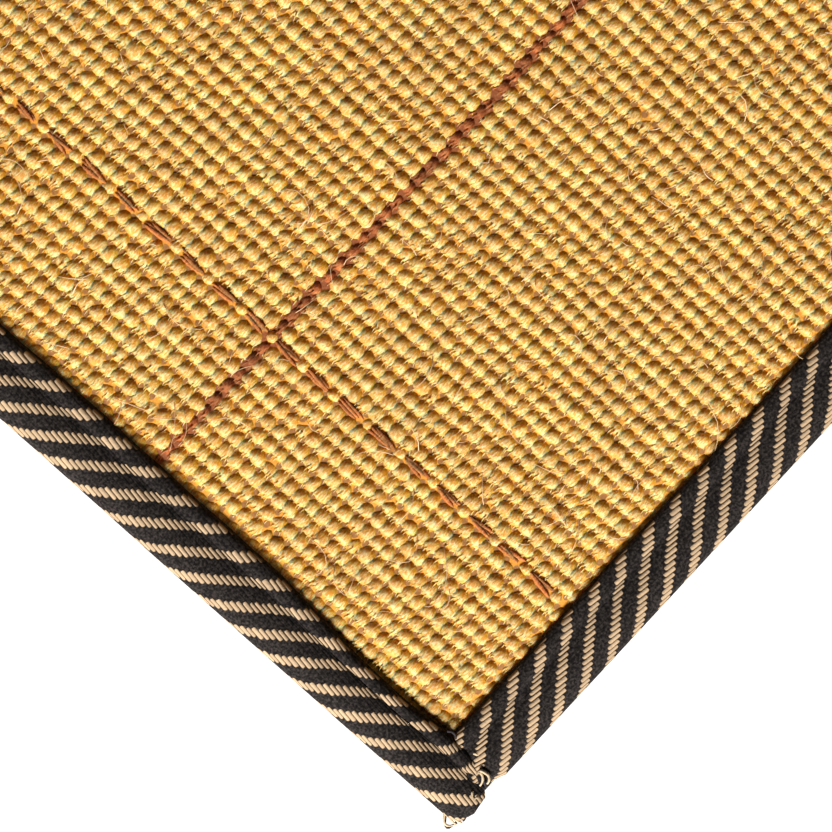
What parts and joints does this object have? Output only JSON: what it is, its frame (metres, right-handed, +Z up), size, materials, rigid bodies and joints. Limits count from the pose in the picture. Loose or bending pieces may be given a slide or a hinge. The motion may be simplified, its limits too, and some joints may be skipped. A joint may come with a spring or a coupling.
{
  "type": "sisal rug",
  "caption": "Flat rectangular woven sisal rug with raised ribs, thin rust check lines and a folded edge binding in diagonally striped cotton tape, lapped at the corners.",
  "frame": {"origin": "under the middle of the rug, on the floor", "axes": "+X along the 900 mm length, +Y along the 600 mm width and the woven ribs, +Z up"},
  "size_m": [0.9, 0.6, 0.0096],
  "materials": {
    "sisal": "golden woven sisal, plump and slightly shiny, with rust check lines",
    "binding": "matt cotton twill tape, black with beige diagonal stripes"
  },
  "bodies": {
    "root": {"sisal_field": "sisal", "binding_left": "binding", "binding_front": "binding", "binding_right": "binding", "binding_back": "binding"}
  },
  "joints": []
}
